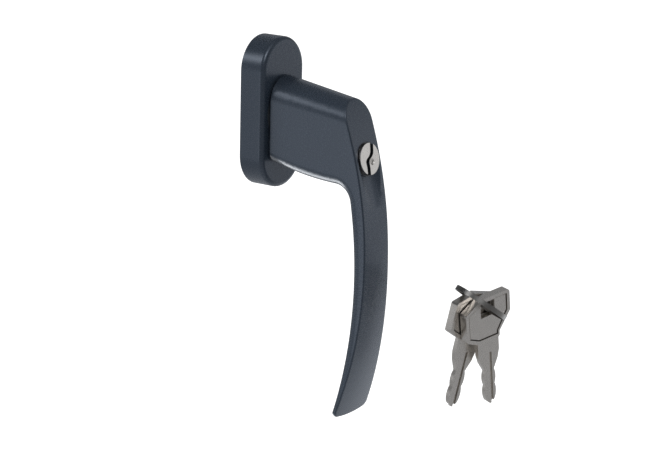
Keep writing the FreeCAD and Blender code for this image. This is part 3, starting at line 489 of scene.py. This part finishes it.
def open_keyway(shape):
    """Widens the keyway's mouth, bows it round the dimple, widens the dimple, and gives the
    keyway's inside the second material, a black that paints the shade of a deep slot. Places on the
    face count from the plug's axis."""
    front = max((face for face in shape.faces if face.normal.y < -FACING),
                key=lambda face: face.calc_area())
    out = front.normal.copy()
    up = out.cross(Vector((1, 0, 0)))
    top = max(vert.co.dot(out) for vert in shape.verts)
    heights = [vert.co.dot(up) for vert in shape.verts if top - vert.co.dot(out) < LEVEL]
    middle = (max(heights) + min(heights)) / 2
    radius = (max(heights) - min(heights)) / 2

    def spot_of(point):
        return Vector((point.x, point.dot(up) - middle))

    def depth_of(point):
        return top - point.dot(out)

    def wall_side(vert):
        spot = spot_of(vert.co)
        aside = spot.x - keyway_middle(spot.y)
        in_keyway = depth_of(vert.co) < KEYWAY_DEPTH + DEPTH_MARGIN
        return math.copysign(1, aside) if in_keyway and WALL_NEAR < abs(aside) < WALL_FAR else 0

    walls = [edge for edge in shape.edges if edge.calc_length() > LONG_EDGE
             and wall_side(edge.verts[0]) * wall_side(edge.verts[1]) > 0
             and abs((edge.verts[0].co - edge.verts[1].co).dot(out)) < LEVEL]
    bmesh.ops.subdivide_edges(shape, edges=walls, cuts=WALL_CUTS)
    for vert in shape.verts:
        if depth_of(vert.co) > KEYWAY_DEPTH + DEPTH_MARGIN:
            continue
        spot = spot_of(vert.co)
        aside = spot.x - keyway_middle(spot.y)
        on_rim = spot.length > radius - RIM_WIDTH
        if (spot - DIMPLE).length < DIMPLE_CIRCLE:
            moved = DIMPLE + (spot - DIMPLE) * DIMPLE_GROWTH
        elif on_rim and abs(aside) > RIM_WALL_FAR:
            continue
        else:
            shift = BOW_SIZE * math.exp(-((spot.y - BOW_HEIGHT) / BOW_SPREAD) ** 2)
            if abs(aside) >= MIDDLE_STRIP:
                shift += RIGHT_WALL_SHIFT if aside > 0 else LEFT_WALL_SHIFT
            moved = spot + Vector((shift, 0.0))
            if on_rim:
                moved.y = math.copysign(math.sqrt(spot.length_squared - moved.x ** 2), spot.y)
        vert.co += Vector((moved.x - spot.x, 0, 0)) + up * (moved.y - spot.y)
    for depth in (0.0, KEYWAY_DEPTH):
        refill(shape, out, top - depth)
    for face in shape.faces:
        place = face.calc_center_median()
        inside = spot_of(place).length < radius - RIM_FACES
        in_dimple = (spot_of(place) - DIMPLE).length < DIMPLE_FACES
        in_depth = DEPTH_MARGIN < depth_of(place) < KEYWAY_DEPTH + DEPTH_MARGIN
        # The keyway's inside takes the black second material: painted shade of a deep slot.
        if inside and in_depth and not in_dimple:
            face.material_index = 1


def engrave_key(shape):
    """Raises the bow's panels until a narrow groove is left round them and round the window, and
    deepens the blade's grooves."""
    out = max(shape.faces, key=lambda face: face.calc_area()).normal.copy()
    levels = [vert.co.dot(out) for vert in shape.verts]
    middle = (max(levels) + min(levels)) / 2

    def floors(side, level):
        return [face for face in shape.faces if abs(face.normal.dot(out)) > SQUARE_ON
                and abs((face.calc_center_median().dot(out) - middle) * side - level) < LEVEL]

    def lift(faces, side, height):
        for vert in {vert for face in faces for vert in face.verts}:
            vert.co += out * side * height

    for side in (1, -1):
        panel = bmesh.ops.triangulate(shape, faces=floors(side, PANEL_FROM))["faces"]
        bmesh.ops.inset_region(shape, faces=panel, thickness=PANEL_GROOVE,
                               use_even_offset=True, use_boundary=True)
        lift(panel, side, PANEL_TO - PANEL_FROM)
        lift(floors(side, GROOVE_FROM), side, GROOVE_TO - GROOVE_FROM)


def refined(node, name, body, material, angle=30, bevel=0.0, flat=False, reshape=None):
    """A smooth-shaded stand-in for a frame node, with narrow rounded edges if asked."""
    shape = merged_copy(node, flat)
    if reshape:
        reshape(shape)
    smooth_by_angle(shape, angle)
    piece = piece_from(shape, name, body, material)
    if bevel:
        rounding = piece.modifiers.new("EdgeRounding", "BEVEL")
        rounding.width = bevel
        rounding.segments = 2
        rounding.limit_method = "ANGLE"
        rounding.angle_limit = math.radians(angle)
        rounding.miter_outer = "MITER_ARC"
        rounding.use_clamp_overlap = True
    weighted = piece.modifiers.new("EvenShading", "WEIGHTED_NORMAL")
    weighted.keep_sharp = not bevel
    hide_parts(node)
    return piece


def dress(nodes, material):
    """Gives frame nodes a finish."""
    for node in nodes:
        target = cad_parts[node]
        if not target.material_slots:
            target.data.materials.append(material)
        for slot in target.material_slots:
            slot.material = material


def coil(name, body, material, radius, wire, turns, start, end):
    """A coil spring between two points: a wire section spun round the axis."""
    start, end = Vector(start), Vector(end)
    axis = (end - start).normalized()
    side = axis.orthogonal().normalized()
    shape = bmesh.new()
    made = bmesh.ops.create_circle(shape, cap_ends=False, radius=wire / 2, segments=WIRE_SIDES)
    turn = Matrix((side, axis, side.cross(axis))).transposed().to_4x4()
    bmesh.ops.transform(shape, matrix=Matrix.Translation(start + side * radius) @ turn,
                        verts=made["verts"])
    pitch = ((end - start).length - wire) / turns
    bmesh.ops.translate(shape, vec=axis * wire / 2, verts=shape.verts)
    bmesh.ops.spin(shape, geom=shape.verts[:] + shape.edges[:], cent=start, axis=axis,
                   dvec=axis * pitch / STEPS_A_TURN, angle=2 * math.pi * turns,
                   steps=STEPS_A_TURN * turns)
    ends = [edge for edge in shape.edges if edge.is_boundary]
    bmesh.ops.holes_fill(shape, edges=ends, sides=WIRE_SIDES)
    bmesh.ops.recalc_face_normals(shape, faces=shape.faces)
    smooth_by_angle(shape, degrees=50)
    return piece_from(shape, name, body, material)


class HANDLE_OT_casting(bpy.types.Operator):
    """Grip, neck and rosette in their satin coat"""

    bl_idname = "handle.casting"
    bl_label = "Grip and rosette"

    def execute(self, context):
        look = context.scene.handle_look
        coat = coat_material(look)
        refined("handle", "GripCasting", "grip", coat, angle=24,
                reshape=lambda shape: crown_face(shape, look.grip_crown))
        refined("rosette_cover", "RosetteCap", "base", coat)
        return {"FINISHED"}


class HANDLE_OT_lock(bpy.types.Operator):
    """Lock face, sleeve and what turns behind them"""

    bl_idname = "handle.lock"
    bl_label = "Lock"

    def execute(self, context):
        sizes = context.scene.handle_hardware
        black = black_coat_and_keyway_shade()
        face = refined("lock_plug", "LockFace", "plug",
                       nickel_material(context.scene.handle_look), flat=True, reshape=open_keyway)
        # The second material paints the keyway's inside black, as shade.
        face.data.materials.append(black)
        refined("lock_housing", "LockSleeve", "grip", black)
        dress(("lock_wafers",), turned_brass())
        dress(("lock_cam", "cam_screw", "locking_bolt", "housing_screw"), plated_steel())
        low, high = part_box("bolt_spring")
        height, radius = (low.z + high.z) / 2, (high.x - low.x) / 2 - sizes.bolt_wire / 2
        bolt_spring = coil("BoltCoil", "grip", spring_steel(), radius, sizes.bolt_wire,
                           sizes.bolt_turns, (0, high.y, height), (0, low.y, height))
        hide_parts("bolt_spring")
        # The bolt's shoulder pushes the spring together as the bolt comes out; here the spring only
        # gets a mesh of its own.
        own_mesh(bolt_spring)
        return {"FINISHED"}


class HANDLE_OT_keys(bpy.types.Operator):
    """Both keys and their ring"""

    bl_idname = "handle.keys"
    bl_label = "Keys and ring"

    def execute(self, context):
        nickel = nickel_material(context.scene.handle_look)
        for node, name, body in (("key_right", "RightKey", "right_key"),
                                 ("key_left", "LeftKey", "left_key")):
            refined(node, name, body, nickel, bevel=KEY_ROUNDING, flat=True,
                    reshape=engrave_key)
        refined("key_ring", "KeyRing", "base", strap_steel())
        return {"FINISHED"}


class HANDLE_OT_fixings(bpy.types.Operator):
    """Base plate, bearing and detent behind the rosette"""

    bl_idname = "handle.fixings"
    bl_label = "Fixings"

    def execute(self, context):
        sizes = context.scene.handle_hardware
        spring = spring_steel()
        refined("base_plate", "BasePlate", "base", cast_zinc())
        dress(("detent_ring",), plated_steel())
        dress(("bearing_bush", "thrust_washer"), moulded_nylon())
        dress(("retaining_ring", "detent_ball_upper", "detent_ball_lower", "spindle_spring"),
              spring)
        for node, name, is_upper in (("detent_spring_upper", "BallCoilUpper", True),
                                     ("detent_spring_lower", "BallCoilLower", False)):
            low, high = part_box(node)
            near, far = (low.z, high.z) if is_upper else (high.z, low.z)
            depth, radius = (low.y + high.y) / 2, (high.x - low.x) / 2 - sizes.ball_wire / 2
            small = coil(name, "base", spring, radius, sizes.ball_wire, sizes.ball_turns,
                         (0, depth, near), (0, depth, far))
            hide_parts(node)
        return {"FINISHED"}


class HANDLE_OT_studio(bpy.types.Operator):
    """Floor, lamps, white surround and camera"""

    bl_idname = "handle.studio"
    bl_label = "Studio"

    def execute(self, context):
        settings = context.scene.handle_studio
        scene = context.scene
        scene.view_settings.view_transform = "Standard"
        low = FRAME_BOX[0]
        shape = bmesh.new()
        bmesh.ops.create_grid(shape, x_segments=1, y_segments=1, size=FLOOR_HALF)
        bmesh.ops.translate(shape, vec=(0, 0, low[2] - settings.floor_drop), verts=shape.verts)
        mesh = bpy.data.meshes.new("StudioFloor")
        shape.to_mesh(mesh)
        shape.free()
        floor = bpy.data.objects.new("StudioFloor", mesh)
        scene.collection.objects.link(floor)
        mesh.materials.append(floor_paper())
        white_surround(scene, settings)
        add_lamp("MainLamp", MAIN_LAMP, settings.window_strength)
        # White paper behind and below lights the neck's lower edge and no other piece.
        card = add_lamp("RimCard", RIM_CARD, settings.rim_strength)
        card.visible_glossy = True
        card.visible_diffuse = False
        receivers = bpy.data.collections.new("RimCardReceivers")
        receivers.objects.link(bpy.data.objects["GripCasting"])
        card.light_linking.receiver_collection = receivers
        card.light_linking.blocker_collection = receivers
        camera = bpy.data.cameras.new("PhotoCamera")
        camera.sensor_width = 36.0
        camera.lens = settings.focal_length
        camera.clip_start = 0.01
        seat = bpy.data.objects.new("PhotoCamera", camera)
        scene.collection.objects.link(seat)
        aside, rise, distance = CAMERA_STANDS
        place = CAMERA_RIGHT * aside + CAMERA_UP * rise + CAMERA_BACK * distance
        turn = Matrix((CAMERA_RIGHT, CAMERA_UP, CAMERA_BACK)).transposed().to_4x4()
        seat.matrix_world = Matrix.Translation(place) @ turn
        scene.camera = seat
        return {"FINISHED"}


def add_lamp(name, stand, power):
    """A square soft lamp that looks at the grip."""
    azimuth, height, distance, size = stand
    data = bpy.data.lights.new(name, "AREA")
    data.shape = "SQUARE"
    data.size = size
    data.energy = power
    lamp = bpy.data.objects.new(name, data)
    bpy.context.scene.collection.objects.link(lamp)
    lamp.visible_camera = False
    lamp.visible_glossy = False
    outwards = toward(azimuth, height)
    lamp.location = LAMP_AIM + outwards * distance
    lamp.rotation_euler = (-outwards).to_track_quat("-Z", "Y").to_euler()
    return lamp


def toward(azimuth, height):
    """The unit vector towards an azimuth, from +X towards +Y, and a height, in degrees."""
    turn, rise = math.radians(azimuth), math.radians(height)
    return Vector((math.cos(turn) * math.cos(rise), math.sin(turn) * math.cos(rise),
                   math.sin(rise)))


def kinds_of_ray(tree):
    """Two factors: one for rays straight from the camera, past clear pieces too, and one for
    mirror rays."""
    rays = add_node(tree, "ShaderNodeLightPath").outputs
    straight = add_node(tree, "ShaderNodeMath", {"operation": "MAXIMUM"},
                        {0: rays["Is Camera Ray"], 1: rays["Is Transmission Ray"]})
    return straight.outputs["Value"], rays["Is Glossy Ray"]


def floor_paper():
    # Matt white background paper: it keeps the object's soft shadow and otherwise shows white.
    # Mirror rays pass through it, so that shiny faces see the surround's own pattern.
    material, tree, _ = new_material("WhitePaper")
    straight, mirroring = kinds_of_ray(tree)
    paper = add_node(tree, "ShaderNodeBsdfDiffuse", {"Color": PAPER_GREY})
    glow = add_node(tree, "ShaderNodeEmission", {"Color": WHITE, "Strength": PAPER_GLOW})
    bright = add_node(tree, "ShaderNodeAddShader", None,
                      {0: paper.outputs["BSDF"], 1: glow.outputs["Emission"]})
    shown = add_node(tree, "ShaderNodeMixShader", None,
                     {0: straight, 1: paper.outputs["BSDF"], 2: bright.outputs["Shader"]})
    clear = add_node(tree, "ShaderNodeBsdfTransparent")
    last = add_node(tree, "ShaderNodeMixShader", None,
                    {0: mirroring, 1: shown.outputs["Shader"], 2: clear.outputs["BSDF"]})
    add_node(tree, "ShaderNodeOutputMaterial", None, {"Surface": last.outputs["Shader"]})
    return material


def soft_box_pattern(tree, settings):
    """How bright a mirror ray finds the surround: a base, more below the horizon, and the soft
    boxes."""
    way = add_node(tree, "ShaderNodeTexCoord").outputs["Generated"]
    parts = add_node(tree, "ShaderNodeSeparateXYZ", None, {"Vector": way})
    total = add_node(tree, "ShaderNodeMapRange", {
        "From Min": 0.0, "From Max": -1.0, "To Min": settings.mirror_base,
        "To Max": settings.mirror_base + settings.mirror_floor},
        {"Value": parts.outputs["Z"]}).outputs["Result"]
    for azimuth, height, width, strength in SOFT_BOXES:
        facing = add_node(tree, "ShaderNodeVectorMath", {
            "operation": "DOT_PRODUCT", 1: toward(azimuth, height)}, {0: way})
        sharpness = 1 / (1 - math.cos(math.radians(width)))
        power = add_node(tree, "ShaderNodeMath", {
            "operation": "MULTIPLY_ADD", 1: sharpness, 2: -sharpness}, {0: facing.outputs["Value"]})
        glow = add_node(tree, "ShaderNodeMath", {"operation": "EXPONENT"},
                        {0: power.outputs["Value"]})
        total = add_node(tree, "ShaderNodeMath", {"operation": "MULTIPLY_ADD", 1: strength},
                         {0: glow.outputs["Value"], 2: total}).outputs["Value"]
    # Black flags take light away, but never below a dim room's.
    dim = add_node(tree, "ShaderNodeMath", {"operation": "MAXIMUM", 1: DARKEST_MIRRORED},
                   {0: total})
    return dim.outputs["Value"]


def white_surround(scene, settings):
    """A white world: full white where the camera sees it, softer as a light, and with soft boxes
    on a grey ground in reflections, as in a studio."""
    world = bpy.data.worlds.new("WhiteSurround")
    scene.world = world
    # Rays find the surround by themselves: it is smooth, and each kind of ray sees another one.
    world.cycles.sampling_method = "NONE"
    world.use_nodes = True
    tree = world.node_tree
    tree.nodes.clear()
    straight, mirroring = kinds_of_ray(tree)
    soft = add_node(tree, "ShaderNodeBackground",
                    {"Color": WHITE, "Strength": settings.sky_strength})
    mirrored = add_node(tree, "ShaderNodeBackground", {"Color": COOL_WHITE},
                        {"Strength": soft_box_pattern(tree, settings)})
    full = add_node(tree, "ShaderNodeBackground", {"Color": WHITE, "Strength": 1.0})
    lit = add_node(tree, "ShaderNodeMixShader", None, {
        0: mirroring, 1: soft.outputs["Background"], 2: mirrored.outputs["Background"]})
    last = add_node(tree, "ShaderNodeMixShader", None, {
        0: straight, 1: lit.outputs["Shader"], 2: full.outputs["Background"]})
    add_node(tree, "ShaderNodeOutputWorld", None, {"Surface": last.outputs["Shader"]})


STEPS = ("casting", "lock", "keys", "fixings", "studio")


class HANDLE_PT_panel(bpy.types.Panel):
    """Lists the handle's pieces and the studio"""

    bl_idname = "HANDLE_PT_panel"
    bl_label = "Locking window handle"
    bl_space_type = "VIEW_3D"
    bl_region_type = "UI"
    bl_category = "Handle"

    def draw(self, context):
        layout = self.layout
        scene = context.scene
        for step in STEPS:
            layout.operator("handle." + step)
        for group in (scene.handle_look, scene.handle_hardware, scene.handle_studio):
            box = layout.box()
            for name in group.bl_rna.properties.keys():
                if name not in ("rna_type", "name"):
                    box.prop(group, name)


CLASSES = (
    HandleLook, StudioSettings, HardwareSizes,
    HANDLE_OT_casting, HANDLE_OT_lock, HANDLE_OT_keys, HANDLE_OT_fixings, HANDLE_OT_studio,
    HANDLE_PT_panel,
)


def register():
    for item in CLASSES:
        bpy.utils.register_class(item)
    bpy.types.Scene.handle_look = PointerProperty(type=HandleLook)
    bpy.types.Scene.handle_studio = PointerProperty(type=StudioSettings)
    bpy.types.Scene.handle_hardware = PointerProperty(type=HardwareSizes)


def unregister():
    del bpy.types.Scene.handle_look
    del bpy.types.Scene.handle_studio
    del bpy.types.Scene.handle_hardware
    for item in reversed(CLASSES):
        bpy.utils.unregister_class(item)


def main():
    register()
    for step in STEPS:
        getattr(bpy.ops.handle, step)()


if __name__ == "__main__":
    main()
